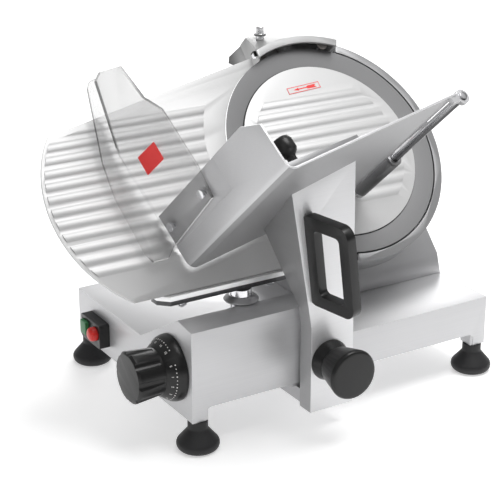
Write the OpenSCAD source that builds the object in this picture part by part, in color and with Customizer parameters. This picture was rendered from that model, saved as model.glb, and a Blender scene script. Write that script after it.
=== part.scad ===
// Gravity-feed food slicer: a folded base on rubber feet, a tilted round blade driven by a belt,
// a ribbed thickness plate with its dial, and a food carriage that slides along the front.
// Millimetres, +Z up, +X along the carriage's travel, +Y away from the carriage.

/* [Base housing] */
// Width of the base along the carriage's travel
base_w = 428; // [410:1:450]
// Depth of the base from front to back
base_d = 296; // [290:1:310]
// Thickness of the base's folded sheet
base_wall = 2.5; // [1.5:0.1:3]
// Height of the deck above the table
deck_z = 101.5; // [98:0.5:106]
// Height of the lower edge of the side walls
leg_z = 38; // [34:0.5:42]
// Height of the front wall's cut-out
front_cut_z = 54; // [52:0.5:56]
// Width of each corner leg, seen from the front
leg_w = 18; // [14:0.5:24]
// Length of the raised console at the left
hump_w = 157; // [150:1:165]
// Height of the console at the front wall
hump_front_z = 151; // [146:0.5:153]
// Height of the console's ridge
ridge_z = 155.5; // [154:0.5:158]
// Distance of the ridge behind the front wall
ridge_in = 32; // [28:0.5:36]
// Distance of the ramp's foot behind the front wall
ramp_in = 124; // [118:1:130]

/* [Feet] */
// Distance of a foot's axis from the base's side
foot_in_x = 12; // [10.5:0.25:13.5]
// Distance of a foot's axis from the base's front or back
foot_in_y = 9.5; // [8:0.25:11]
// Largest radius of a foot
foot_r = 25.5; // [22:0.5:26]
// Radius of a foot's round lower edge
foot_rim_r = 8; // [6:0.5:9]
// Radius of a foot's neck
foot_neck_r = 12; // [9:0.5:13]
// Length of a foot's straight neck
foot_neck_l = 11; // [8:0.5:14]
// Height at which the stud starts in the foot
stud_z = 10; // [6:0.5:14]
// Radius of a foot's stud
stud_r = 4; // [3:0.25:5]

/* [Blade] */
// Radius of the blade
blade_r = 142.5; // [140:0.5:143]
// Lean of the blade from upright, degrees
blade_tilt = 43; // [42:0.25:44]
// Blade centre right of the base's middle
blade_x = 67.7; // [62:0.1:72]
// Blade centre behind the base's middle
blade_y = -10.3; // [-12:0.1:-8]
// Height of the blade centre
blade_z = 285.7; // [283:0.1:290]
// Width of the guard ring outside the blade's edge
ring_w = 12; // [10.5:0.5:14]
// Depth of the blade guard ring
ring_depth = 28; // [24:0.5:32]
// Width of the blade left bare round its cover plate
blade_rim = 25; // [24:0.5:32]
// Distance between the ribs of the plates
rib_pitch = 16; // [14:0.5:18]
// Height of a rib above its plate
rib_h = 1.5; // [1:0.1:1.8]
// Width of a rib
rib_w = 12; // [10:0.5:13]

/* [Drive] */
// Radius of the blade shaft
shaft_r = 16; // [14:0.5:18]
// Radius of the large pulley
pulley_r = 50; // [44:0.5:52]
// Radius of the motor pulley
motor_pulley_r = 10; // [9:0.5:12]
// Distance between the two pulleys
belt_span = 95; // [92:0.5:97]
// Thickness of the belt
belt_t = 3; // [2:0.1:3.5]
// Radius of the motor
motor_r = 45; // [40:0.5:46]
// Length of the motor
motor_l = 70; // [60:1:72]
// Distance of the pedestal's front face behind the blade
pedestal_gap = 82; // [80:0.5:84]
// Depth of the pedestal's belt housing
pedestal_depth = 42; // [40:0.5:44]
// Thickness of the pedestal's wall
pedestal_wall = 3; // [2:0.1:3.5]
// Left end of the pedestal from the base's middle
pedestal_x0 = 10; // [4:0.5:12]

/* [Thickness plate] */
// Thickness of the plate under its ribs
gauge_t = 3.5; // [3:0.1:4.5]
// Radius of the plate's rounded left end
gauge_end_r = 155; // [150:0.5:158]
// Centre of the rounded end left of the blade centre
gauge_end_x = 235; // [228:0.5:240]
// Lower edge of the plate below the blade centre
gauge_low_u = 138; // [136:0.5:140]
// Travel of the plate along Y
gauge_travel = 16.4; // [12:0.1:16.4]
// Turn of the dial over that travel, degrees
dial_turn = 330; // [300:1:330]
// Radius of the dial's numbered ring
dial_r = 40; // [36:0.5:42]
// Radius of the dial's grip
dial_grip_r = 31; // [28:0.5:33]
// Length of the dial from the base's face to its end
dial_l = 58; // [54:0.5:62]
// Dial axis behind the front wall
dial_in = 46; // [44:0.5:48]
// Height of the dial axis
dial_z = 92; // [90:0.5:94]
// Radius of the post under the plate
post_r = 12.4; // [10:0.2:13]
// Radius of the collar at the post's foot
collar_r = 21; // [18:0.5:23]
// Height of that collar
collar_h = 6; // [5:0.5:7]

/* [Carriage] */
// Lean of the food table in the plane of the blade, degrees
tray_lean = 12; // [10:0.25:13]
// Turn of the table's end wall from square, degrees
tray_skew = 7; // [5:0.25:8]
// Sheet thickness of the food table
tray_t = 2.5; // [2:0.1:3]
// Depth of the food table
tray_d = 232; // [220:1:238]
// Length of the food table along its end edge
tray_l = 244; // [230:1:248]
// Height of the end wall
tray_wall_h = 71; // [66:0.5:76]
// Running gap between the table and the blade
tray_gap = 4.8; // [4:0.1:6]
// Distance of the arm's front face ahead of the base's front wall
arm_gap = 28; // [26:0.5:30]
// Thickness of the arm's plate
arm_t = 3; // [2.5:0.1:4]
// Radius of the main guide rod
rod_r = 8; // [7:0.25:8.5]
// Radius of the second guide rod
rail_r = 5; // [4:0.25:5.5]
// Length of the handle loop
handle_h = 112; // [104:1:116]
// Distance that the handle stands out
handle_out = 70; // [64:1:74]
// Radius of the clamp knob
knob_r = 30.5; // [28:0.5:32]

/* [Food pusher] */
// Radius of the pusher's rod
pusher_rod_r = 5; // [4.5:0.1:5.5]
// Length of the pusher's sleeve
pusher_sleeve_l = 78; // [70:1:84]
// Radius of the pusher's grip knob
pusher_knob_r = 13; // [11:0.5:14]

/* [Sharpener] */
// Right end of the sharpener's cover, degrees round the blade
sharpener_a0 = 66; // [65.5:0.5:70]
// Left side of the sharpener's cover, from the blade's axis
sharpener_side = 47; // [46:0.5:49]
// Height of the cover's back edge above the blade's edge
sharpener_rise = 40; // [38:0.5:43]
// Radius of the sharpener's post
sharpener_post_r = 6; // [5:0.25:6.5]

/* [Switch] */
// Width of the switch box
switch_w = 52; // [48:0.5:56]
// Height of the switch box
switch_h = 32; // [30:0.5:34]
// Depth of the switch box
switch_d = 14; // [12:0.5:18]
// Travel of each button
button_travel = 3.5; // [2:0.1:3.5]

/* [Hidden] */
$fn = 96;

// Fits shared by the pieces
run_fit = 0.05;
seat_fit = 0.02;
clear = 0.3;
far = 600;

// The frame's origin lies under the middle of the whole object
base_x = 47.4;
base_y = 45.72;

// Places on the base
front_y = -base_d / 2;
back_y = base_d / 2;
left_x = -base_w / 2;
right_x = base_w / 2;
ridge_y = front_y + ridge_in;
ramp_y = front_y + ramp_in;
hump_x = left_x + hump_w;
ramp_angle = atan2(ridge_z - deck_z, ramp_y - ridge_y);
inner_front_y = front_y + base_wall;
foot_dx = base_w - 2 * foot_in_x;
foot_dy = base_d - 2 * foot_in_y;
dial_shaft_r = 5;
switch_y = 87;
switch_z = 67.5;
button_z = switch_z + 1.5;
switch_back_h = 15;
gland_x = 120;
gland_z = 78;
gland_r = 7;
gland_nut_r = gland_r + 4;

// Inside the base
cover_z = 56;
cover_t = 2;
ledge_w = 8;
block_w = 20;
guide_y = inner_front_y + 18.5;
guide_z = 68;
rail_y = guide_y + 29;
rail_z = 66;
slide_l = 70;
slide_rear_y = rail_y + rail_r + 5;
cover_front_y = slide_rear_y + 2;
bulkhead_x = left_x + 28;
bulkhead_t = 4;
bulkhead_top_z = dial_z + 20;
dial_y = front_y + dial_in;

// Blade stack, measured along the blade's axis from its edge plane
ring_r = blade_r + ring_w;
cover_r = blade_r - blade_rim;
sharpener_r = blade_r + sharpener_rise;
rib_r = (rib_w * rib_w / 4 + rib_h * rib_h) / (2 * rib_h);
blade_dish = 5;
blade_back = 9;
hub_flange_r = 40;
hub_flange_t = 6;
hub_bore_r = 8;
boss_bore_r = 28;
boss_r = 36;
boss_front = 20;
cover_t_plate = 2;
cover_set = 2.7;
cover_boss_r = 12;
tie_rod_r = 6;
pulley_w = 14;
pulley_n = -(pedestal_gap + pedestal_wall + 1 + pulley_w);
motor_n = pulley_n - 6;
bracket_t = 3;
standoff = 38;
motor_shaft_r = 5;
hub_screw_r = 3;
hub_screw_at = 30;

// Thickness drive
scroll_r0 = 10;
scroll_r = scroll_r0 + gauge_travel + 5;
scroll_t = 8;
scroll_groove_d = 5;
scroll_x = left_x + base_wall + 10;
pin_r = 3;
block_z = 86;
block_top_z = 110;
gauge_rod_r = 6;
gauge_rod_x = left_x + 64;
gauge_rod_z = 98;
post_x = left_x + 94;
post_y = ridge_y + 16;
bar_t = 11;
bar_x0 = left_x - 15;
bar_x1 = -48;
gauge_top_slope = 11.5;
gauge_top_u = 152;
gauge_right_x = -60;
gauge_gap = 0.4;

// Tray
tray_x = -248.6;
tray_u = -114.6;
wall_top_d = 200;
wall_step = 0.8;
wall_step_d = 137.5;
wall_step_w = 29;
bend_r = 8;
sleeve_r = pusher_rod_r + 4.5;
pusher_x = tray_l + sleeve_r + 0.5;
pusher_w = -6;
ear_t = 6;
rod_z0 = tray_l * tan(tray_skew) + 4;
rod_z1 = tray_d + tray_l * sin(tray_skew) - 4;
ear_r = pusher_rod_r + 4;
sleeve_z = rod_z0 + ear_t + clear;
bush_r = pusher_rod_r + 1.5;
bush_lip = 4;
arm_bar_w = 50;
arm_bar_d = 16;
plate_x0 = 100;
plate_x1 = 220;
plate_z = 58;
plate_t = 4;

// Clear guard
guard_screw_d = [17, 95];
guard_screw_w = 49;
guard_screw_r = 2.5;
guard_t = 4;

// Arm
arm_y = front_y - arm_gap;
arm_x0 = -71;
arm_x1 = -11;
arm_foot_z = 26;
arm_knee_z = 134;
arm_lean = 9.75;
arm_flange_y = front_y - 5;
clamp_x = -46;
clamp_z = 90;
clamp_collar_l = 16;
clamp_collar_r = 25;
clamp_knob_l = 36;
clamp_stud_r = 4;

// Handle
handle_x = -72;
handle_z = 222;
handle_lean = -7;
handle_turn = 8;
handle_bar = 15;
handle_w = 12;
handle_screw_r = 2.5;
handle_screw_z = [-38, 38];

function unit(v) = v / norm(v);
// Moves every side of a counter-clockwise outline inwards by d
function inset(p, d) = [for (i = [0:len(p) - 1])
    let (a = p[(i + len(p) - 1) % len(p)], b = p[i], c = p[(i + 1) % len(p)],
         e = unit(b - a), f = unit(c - b), m = [-e[1], e[0]], n = [-f[1], f[0]])
    b + (m + n) * d / (1 + m * n)];
// A point of the blade's frame as [y, z] from the base's middle
function from_blade(u, n) = [blade_y + u * sin(blade_tilt) - n * cos(blade_tilt),
                             blade_z + u * cos(blade_tilt) + n * sin(blade_tilt)];

module from_base() translate([base_x, base_y, 0]) children();
// x along the travel, y up in the blade's plane, z out of its face
module at_blade(x = 0, u = 0, n = 0)
    from_base() translate([blade_x, blade_y, blade_z]) rotate([90 - blade_tilt, 0, 0])
        translate([x, u, n]) children();
// x along the table, y square to the table, z away from the blade
module at_tray() at_blade(tray_x, tray_u, tray_gap) rotate([0, 0, tray_lean]) children();
module at_wall() at_tray() rotate([0, tray_skew, 0]) children();
// Extrudes an outline of [y, z] along X
module along_x(x0, x1) translate([x0, 0, 0]) rotate([90, 0, 90]) linear_extrude(x1 - x0) children();
// A rod along X or along Y
module rod_x(x0, x1, y, z, r) translate([x0, y, z]) rotate([0, 90, 0]) cylinder(h = x1 - x0, r = r);
module rod_y(x, y0, y1, z, r) translate([x, y0, z]) rotate([-90, 0, 0]) cylinder(h = y1 - y0, r = r);
module box(a, b) translate(a) cube(b - a);
module corners(dx, dy) for (i = [-1, 1], j = [-1, 1]) translate([i * dx / 2, j * dy / 2, 0]) children();
// A rectangle with round corners, from a to b
module round_rect(a, b, r) {
    translate([a[0] + r, a[1]]) square([b[0] - a[0] - 2 * r, b[1] - a[1]]);
    translate([a[0], a[1] + r]) square([b[0] - a[0], b[1] - a[1] - 2 * r]);
    for (x = [a[0] + r, b[0] - r], y = [a[1] + r, b[1] - r]) translate([x, y]) circle(r);
}
// A part turned round the blade's axis between two angles
module sector(a0, a1) rotate([0, 0, a0]) rotate_extrude(angle = a1 - a0) children();
module ring(r1, r0, h) difference() {
    cylinder(h = h, r = r1);
    translate([0, 0, -1]) cylinder(h = h + 2, r = r0);
}
// Half-round ribs along x with their tops at z = 0, one every rib_pitch below u0
module ribs(x0, x1, u0, count) {
    for (i = [0:count - 1]) translate([x0, u0 - i * rib_pitch, 0]) intersection() {
        translate([0, 0, -rib_r]) rotate([0, 90, 0]) cylinder(h = x1 - x0, r = rib_r);
        translate([0, -rib_r, -rib_h - 1]) cube([x1 - x0, 2 * rib_r, rib_h + 2]);
    }
}

// The base's console in side view
hump_outline = [[front_y, leg_z], [ramp_y, leg_z], [ramp_y, deck_z], [ridge_y, ridge_z],
                [front_y, hump_front_z]];
roof_drop = base_wall / cos(ramp_angle);
hump_hollow = [[inner_front_y, leg_z - 1], [ramp_y, leg_z - 1], [ramp_y, deck_z - roof_drop],
               [ridge_y, ridge_z - roof_drop], [inner_front_y, hump_front_z - base_wall]];

module wall_opening() round_rect([left_x + leg_w, leg_z - far], [right_x - leg_w, front_cut_z], 8);

module base_shell() difference() {
    union() {
        box([left_x, front_y, leg_z], [right_x, back_y, deck_z]);
        along_x(left_x, hump_x) polygon(hump_outline);
    }
    box([left_x + base_wall, inner_front_y, leg_z - 1],
        [right_x - base_wall, back_y - base_wall, deck_z - base_wall]);
    along_x(left_x + base_wall, hump_x - base_wall) polygon(hump_hollow);
    translate([0, back_y + 1, 0]) rotate([90, 0, 0]) linear_extrude(base_d + 2) wall_opening();
    box([pedestal_x0 + 10, front_y + 104, deck_z - 10], [right_x - 12, back_y - 34, deck_z + 1]);
    box([post_x - post_r - 1, post_y - post_r - 1, deck_z + 10],
        [post_x + post_r + 1, post_y + post_r + gauge_travel + 1, ridge_z + 10]);
    rod_x(left_x - 1, left_x + base_wall + 1, dial_y, dial_z, dial_shaft_r + 1);
    box([left_x - 1, switch_y - switch_w / 2 + 5, button_z - switch_back_h / 2],
        [left_x + base_wall + 1, switch_y + switch_w / 2 - 5, button_z + switch_back_h / 2]);
    rod_y(gland_x, back_y - base_wall - 1, back_y + 1, gland_z, gland_r);
}

module corner_blocks() difference() {
    for (i = [-1, 1], j = [-1, 1])
        translate([i * (right_x - base_wall / 2 - block_w / 2) - block_w / 2,
                   j * (back_y - base_wall / 2 - block_w / 2) - block_w / 2, leg_z])
            cube([block_w, block_w, cover_z + cover_t - leg_z]);
    corners(foot_dx, foot_dy) translate([0, 0, leg_z - 1]) cylinder(h = far, r = stud_r);
}

module ledges() {
    z0 = cover_z + cover_t;
    for (x = [left_x + base_wall / 2, right_x - base_wall / 2 - ledge_w])
        translate([x, cover_front_y, z0]) cube([ledge_w, back_y - base_wall / 2 - cover_front_y, base_wall]);
    translate([left_x + base_wall / 2, back_y - base_wall / 2 - ledge_w, z0])
        cube([base_w - base_wall, ledge_w, base_wall]);
}

rod_end_y = ridge_y + 64;
hanger_t = 4;

module gauge_rod_hanger() difference() {
    roof_z = deck_z + (ramp_y - rod_end_y) * tan(ramp_angle) - roof_drop / 2;
    box([gauge_rod_x - 12, rod_end_y - hanger_t, gauge_rod_z - 12], [gauge_rod_x + 12, rod_end_y, roof_z]);
    rod_y(gauge_rod_x, rod_end_y - hanger_t - 1, rod_end_y + 1, gauge_rod_z, gauge_rod_r);
}

module base_housing() color([0.74, 0.74, 0.75]) from_base() {
    base_shell();
    corner_blocks();
    ledges();
    gauge_rod_hanger();
}

module bottom_cover() color([0.55, 0.55, 0.56]) from_base() difference() {
    edge = base_wall + clear;
    box([left_x + edge, cover_front_y, cover_z], [right_x - edge, back_y - edge, cover_z + cover_t]);
    for (x = [left_x, right_x - block_w - edge])
        box([x, back_y - block_w - edge, cover_z - 1], [x + block_w + edge, back_y, cover_z + cover_t + 1]);
}

// A foot's flare runs straight from its neck to where it touches the round lower edge
foot_rim = [foot_r - foot_rim_r, foot_rim_r];
foot_neck = [foot_neck_r, leg_z - foot_neck_l];
foot_lean = foot_neck - foot_rim;
foot_touch_a = atan2(foot_lean[1], foot_lean[0]) - acos(foot_rim_r / norm(foot_lean));
foot_touch = foot_rim + foot_rim_r * [cos(foot_touch_a), sin(foot_touch_a)];

module foot_profile() {
    polygon([[0, 0], [foot_rim[0], 0], foot_rim, foot_touch, foot_neck, [foot_neck_r, leg_z], [0, leg_z]]);
    translate(foot_rim) circle(foot_rim_r);
}

module feet() color([0.06, 0.06, 0.06]) from_base() corners(foot_dx, foot_dy) difference() {
    rotate_extrude() foot_profile();
    translate([0, 0, stud_z]) cylinder(h = leg_z, r = stud_r);
}

module foot_studs() color([0.6, 0.6, 0.62]) from_base() corners(foot_dx, foot_dy)
    translate([0, 0, stud_z]) cylinder(h = cover_z + cover_t - stud_z, r = stud_r);

// The pedestal in side view, counter-clockwise
pedestal_n = -pedestal_gap;
pedestal_top_u = 60;
pedestal_outline = [[front_y + 94, deck_z], [back_y - 20, deck_z], [back_y - 20, deck_z + 19.5],
    from_blade(-42, pedestal_n - pedestal_depth), from_blade(pedestal_top_u, pedestal_n - pedestal_depth),
    from_blade(pedestal_top_u, pedestal_n), from_blade(-140, pedestal_n)];
pedestal_corner_r = 36;

// The hollow runs out through the open bottom
pedestal_hollow = [for (i = [0:len(pedestal_outline) - 1])
    inset(pedestal_outline, pedestal_wall)[i] - [0, i < 2 ? pedestal_wall + 1 : 0]];

module pedestal_block(outline, d) intersection() {
    along_x(pedestal_x0 + d, right_x - d) polygon(outline);
    translate([blade_x, blade_y, blade_z]) rotate([90 - blade_tilt, 0, 0]) translate([0, 0, -far / 2])
        linear_extrude(far) round_rect([pedestal_x0 - blade_x + d, -far],
                                       [right_x - blade_x - d, pedestal_top_u - d], pedestal_corner_r - d);
}

module pedestal() color([0.72, 0.72, 0.73]) {
    difference() {
        from_base() difference() {
            pedestal_block(pedestal_outline, 0);
            pedestal_block(pedestal_hollow, pedestal_wall);
        }
        at_blade(0, 0, pedestal_n - pedestal_wall - 1) cylinder(h = pedestal_wall + 2, r = shaft_r + 4);
        at_blade(0, 0, pedestal_n - pedestal_depth - 1) cylinder(h = pedestal_wall + 2, r = tie_rod_r + 1);
    }
}

module motor() color([0.35, 0.36, 0.38]) at_blade(0, -belt_span, motor_n) difference() {
    union() {
        translate([0, 0, -motor_l]) cylinder(h = motor_l, r = motor_r);
        for (i = [0:17]) rotate([0, 0, i * 20])
            translate([motor_r - 1, -1, -motor_l + 8]) cube([3, 2, motor_l - 16]);
    }
    translate([0, 0, -motor_l / 2]) cylinder(h = motor_l, r = motor_shaft_r + run_fit);
}

module motor_bracket() color([0.5, 0.5, 0.52]) at_blade(0, -belt_span, motor_n) difference() {
    union() {
        translate([-standoff - 8, -standoff - 8, 0]) cube([2 * standoff + 16, 2 * standoff + 16, bracket_t]);
        corners(2 * standoff, 2 * standoff)
            cylinder(h = pedestal_n - pedestal_wall - motor_n - seat_fit, r = 5);
    }
    translate([0, 0, -1]) cylinder(h = bracket_t + 2, r = 12);
}

// Two circles joined by their outer tangents
module belt_outline(r1, r2, span) {
    a = acos((r1 - r2) / span);
    circle(r1);
    translate([0, -span]) circle(r2);
    polygon([[r1 * sin(a), -r1 * cos(a)], [-r1 * sin(a), -r1 * cos(a)],
             [-r2 * sin(a), -span - r2 * cos(a)], [r2 * sin(a), -span - r2 * cos(a)]]);
}

module drive_belt() color([0.08, 0.08, 0.08])
    at_blade(0, 0, pulley_n + 1) linear_extrude(pulley_w - 2) difference() {
        belt_outline(pulley_r + clear + belt_t, motor_pulley_r + clear + belt_t, belt_span);
        belt_outline(pulley_r + clear, motor_pulley_r + clear, belt_span);
    }

// The cast ring round the blade, its web and the bearing boss behind it
guard_a0 = -100;
guard_a1 = sharpener_a0 - 2;
web_t = 4;
socket_x = 8;
socket_r = 11;
socket_n = -23;
socket_u0 = blade_r - 44.5;
socket_u1 = blade_r - 1.5;
web_top_r = blade_r - 17.5;
web_a1 = 112;

module blade_guard() color([0.7, 0.7, 0.71]) difference() {
    at_blade() {
        sector(guard_a0, guard_a1) {
            translate([ring_r - 4, -ring_depth]) square([4, ring_depth]);
            translate([blade_r + 2, -5]) square([ring_r - blade_r - 2, 5]);
            translate([boss_r - 1, -ring_depth]) square([ring_r - boss_r, web_t]);
        }
        sector(guard_a1 - 1, web_a1) translate([boss_r - 1, -ring_depth]) square([web_top_r - boss_r, web_t]);
        translate([0, 0, pedestal_n + seat_fit]) cylinder(h = pedestal_gap - boss_front, r = boss_r);
        translate([socket_x, socket_u0, socket_n]) rotate([-90, 0, 0])
            cylinder(h = socket_u1 - socket_u0, r = socket_r);
    }
    at_blade(0, 0, pedestal_n - 1) cylinder(h = pedestal_gap, r = boss_bore_r);
    at_blade(socket_x, socket_u0 - 1, socket_n) rotate([-90, 0, 0])
        cylinder(h = far, r = sharpener_post_r + run_fit);
}

module hub_bearings() color([0.66, 0.67, 0.7]) for (n = [-42, -76])
    at_blade(0, 0, n) ring(boss_bore_r, shaft_r + run_fit, 11);

module slice_deflector() color([0.8, 0.8, 0.82]) at_blade(0, 0, -46) linear_extrude(1.5) difference() {
    union() {
        circle(boss_r + 14);
        round_rect([-104, -96], [-boss_r + 20, 66], 22);
    }
    circle(boss_r + run_fit);
}

module cable_gland() color([0.07, 0.07, 0.07]) from_base() difference() {
    union() {
        rod_y(gland_x, back_y - base_wall - 8, back_y + 16, gland_z, gland_r);
        translate([gland_x, back_y, gland_z]) rotate([-90, 0, 0]) cylinder(h = 6, r = gland_nut_r, $fn = 6);
        translate([gland_x, back_y - base_wall, gland_z]) rotate([90, 0, 0])
            cylinder(h = 5, r = gland_nut_r, $fn = 6);
    }
    rod_y(gland_x, back_y - 20, back_y + 20, gland_z, gland_r - 3);
}

// The push-button switch on the left wall
green_y = switch_y + 13;
red_y = switch_y - 13;
button_floor = 5;
green_w = 15;
green_h = 18;
red_r = 9;

module switch_box() color([0.05, 0.05, 0.05]) from_base() difference() {
    union() {
        translate([left_x, switch_y, switch_z]) rotate([90, 0, -90]) linear_extrude(switch_d)
            round_rect([-switch_w / 2, -switch_h / 2], [switch_w / 2, switch_h / 2], 3);
        box([left_x, switch_y - switch_w / 2 + 5 + clear, button_z - switch_back_h / 2 + clear],
            [left_x + 26, switch_y + switch_w / 2 - 5 - clear, button_z + switch_back_h / 2 - clear]);
    }
    box([left_x - switch_d - 1, green_y - green_w / 2 - clear, button_z - green_h / 2 - clear],
        [left_x - button_floor, green_y + green_w / 2 + clear, button_z + green_h / 2 + clear]);
    rod_x(left_x - switch_d - 1, left_x - button_floor, red_y, button_z, red_r + clear);
}

button_seat = button_floor + button_travel + 0.5;

module green_button() color([0.25, 0.55, 0.3]) from_base()
    translate([left_x - button_seat, green_y, button_z]) rotate([90, 0, -90])
        linear_extrude(switch_d + 1.5 - button_seat + 3)
            round_rect([-green_w / 2, -green_h / 2], [green_w / 2, green_h / 2], 2);

module red_button() color([0.85, 0.1, 0.08]) from_base()
    translate([left_x - button_seat, red_y, button_z]) rotate([0, -90, 0])
        rotate_extrude() polygon([[0, 0], [red_r, 0], [red_r, switch_d + 5 - button_seat],
            [red_r - 1, switch_d + 7.5 - button_seat], [red_r - 3.5, switch_d + 9 - button_seat],
            [0, switch_d + 9.5 - button_seat]]);

// The plate that carries the guide rods and the dial's shaft inside the base
module bulkhead() color([0.58, 0.58, 0.6]) from_base() difference() {
    union() {
        box([bulkhead_x, inner_front_y, cover_z + 2], [bulkhead_x + bulkhead_t, dial_y + 42, bulkhead_top_z]);
        box([bulkhead_x - 18, inner_front_y, cover_z + 2], [bulkhead_x, inner_front_y + 3, bulkhead_top_z]);
    }
    rod_x(bulkhead_x - 1, bulkhead_x + bulkhead_t + 1, guide_y, guide_z, rod_r);
    rod_x(bulkhead_x - 1, bulkhead_x + bulkhead_t + 1, rail_y, rail_z, rail_r);
    rod_x(bulkhead_x - 1, bulkhead_x + bulkhead_t + 1, dial_y, dial_z, dial_shaft_r + run_fit);
    box([bulkhead_x - 1, dial_y + scroll_r0 - pin_r - 0.5, dial_z - pin_r - 0.5],
        [bulkhead_x + bulkhead_t + 1, dial_y + scroll_r0 + gauge_travel + pin_r + 0.5, dial_z + pin_r + 0.5]);
}

module carriage_rod() color([0.8, 0.8, 0.82]) from_base()
    rod_x(bulkhead_x, right_x - base_wall, guide_y, guide_z, rod_r);

module carriage_rail() color([0.8, 0.8, 0.82]) from_base()
    rod_x(bulkhead_x, right_x - base_wall, rail_y, rail_z, rail_r);

module gauge_rod() color([0.8, 0.8, 0.82]) from_base()
    rod_y(gauge_rod_x, inner_front_y, rod_end_y, gauge_rod_z, gauge_rod_r);

// The blade and what turns with it
module hub_screw_places() for (i = [0:2]) rotate([0, 0, i * 120]) translate([hub_screw_at, 0, 0]) children();

module blade() color([0.6, 0.61, 0.63]) at_blade() difference() {
    rotate_extrude($fn = 180) polygon([[cover_boss_r + 2, -blade_back], [blade_r - 32, -blade_back],
        [blade_r - 6, -3.5], [blade_r, -0.4], [blade_r, 0], [cover_r + 1, -blade_dish],
        [cover_boss_r + 2, -blade_dish]]);
    hub_screw_places() translate([0, 0, -far / 2]) cylinder(h = far, r = hub_screw_r);
}

module blade_hub() color([0.55, 0.56, 0.58]) at_blade() difference() {
    union() {
        translate([0, 0, -blade_back - hub_flange_t]) cylinder(h = hub_flange_t, r = hub_flange_r);
        translate([0, 0, pulley_n - 2]) cylinder(h = -pulley_n + 2 - blade_back, r = shaft_r);
    }
    translate([0, 0, -far / 2]) cylinder(h = far, r = hub_bore_r);
    translate([0, 0, -blade_back - hub_flange_t]) cylinder(h = far, r = cover_boss_r + 1);
    hub_screw_places() translate([0, 0, -far / 2]) cylinder(h = far, r = hub_screw_r);
}

module blade_screws() color([0.3, 0.3, 0.32]) at_blade() hub_screw_places()
    translate([0, 0, -blade_back - hub_flange_t])
        cylinder(h = hub_flange_t + blade_back - blade_dish, r = hub_screw_r);

module driven_pulley() color([0.5, 0.5, 0.52]) at_blade(0, 0, pulley_n) ring(pulley_r, shaft_r, pulley_w);

module motor_pulley() color([0.5, 0.5, 0.52]) at_blade(0, -belt_span, 0) {
    translate([0, 0, pulley_n]) cylinder(h = pulley_w, r = motor_pulley_r);
    translate([0, 0, motor_n - motor_l / 2 + 2])
        cylinder(h = pulley_n - motor_n + motor_l / 2, r = motor_shaft_r);
}

// The still plate over the blade's middle and the rod that draws it in from behind
module blade_cover() color([0.86, 0.86, 0.86]) at_blade(0, 0, -cover_set + rib_h) difference() {
    union() {
        translate([0, 0, -rib_h - cover_t_plate]) cylinder(h = cover_t_plate, r = cover_r, $fn = 180);
        intersection() {
            ribs(-cover_r, cover_r, 72, 10);
            translate([0, 0, -far / 2]) cylinder(h = far, r = cover_r - 16);
        }
        translate([0, 0, -13]) cylinder(h = 13 - rib_h - cover_t_plate / 2, r = cover_boss_r);
    }
    translate([0, 0, -14]) cylinder(h = 9, r = tie_rod_r + run_fit);
}

tie_rod_end = pedestal_n - pedestal_depth - 10;

module tie_rod() color([0.75, 0.75, 0.77]) at_blade(0, 0, tie_rod_end)
    cylinder(h = -tie_rod_end - cover_set - 6, r = tie_rod_r);

tie_knob_r = 20;
tie_knob_l = 34;
tie_knob_neck_r = 13;

module tie_rod_knob() color([0.05, 0.05, 0.05])
    at_blade(0, 0, pedestal_n - pedestal_depth - clear) difference() {
        rotate([180, 0, 0]) rotate_extrude() polygon([[0, 0], [tie_knob_neck_r, 0], [tie_knob_neck_r, 8],
            [tie_knob_r, 13], [tie_knob_r, tie_knob_l - 4], [tie_knob_r - 3, tie_knob_l], [0, tie_knob_l]]);
        translate([0, 0, -10 + clear]) cylinder(h = 20, r = tie_rod_r);
        for (i = [0:7]) rotate([0, 0, i * 45]) translate([tie_knob_r + 3, 0, -tie_knob_l - 6])
            cylinder(h = 28, r = 5, $fn = 32);
    }

// The sharpener over the top of the blade
sharpener_front_n = 14;
sharpener_back_n = -33;
sharpener_wall = 3;
sharpener_low_r = blade_r + 1.5;
sharpener_lip_r = blade_r + 10.5;
sharpener_edge_n = -16;
sharpener_fold_n = sharpener_edge_n + 2;
sharpener_flare = 11;
sharpener_section = [[sharpener_low_r, sharpener_front_n], [sharpener_low_r, sharpener_back_n],
    [sharpener_r, sharpener_back_n], [sharpener_r, sharpener_edge_n], [sharpener_lip_r, sharpener_front_n]];
sharpener_hollow = [[sharpener_low_r - 5, sharpener_front_n - sharpener_wall],
    [sharpener_low_r - 5, sharpener_back_n + sharpener_wall],
    [sharpener_r - sharpener_wall, sharpener_back_n + sharpener_wall],
    [sharpener_r - sharpener_wall, sharpener_edge_n - 1.4],
    [sharpener_lip_r - 1.4, sharpener_front_n - sharpener_wall]];
sharpener_end_a = 1.2;
grind_in = 11.0192;
grind_at = blade_r + 26.4;
grind_x = grind_in - sharpener_side;
grind_u = sqrt(grind_at * grind_at - grind_x * grind_x);
grind_n = -2;
pin_button_r = 5;
pin_r_low = pin_button_r - 1.5;
pin_collar_r = pin_button_r + 2.6;
pin_low = -28;
pin_rest = 4.6;
pin_top = 17;
grind_stone_r = 7;
grind_stone_t = 5;
hone_a = 72.67;
hone_at = blade_r + 5.2;
hone_x = hone_at * cos(hone_a);
hone_u = hone_at * sin(hone_a);
hone_rod_r = 3.5;

module at_grind() at_blade(grind_x, grind_u, grind_n) rotate([blade_tilt - 90, 0, 0]) children();

// What lies right of the cover's left side at x; the side turns out towards the lip
module right_of(x) translate([0, far, 0]) rotate([90, 0, 0]) linear_extrude(far)
    polygon([[far, -far], [far, far], [x - sharpener_flare, far], [x - sharpener_flare, sharpener_front_n],
        [x, sharpener_fold_n], [x, -far]]);

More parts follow.
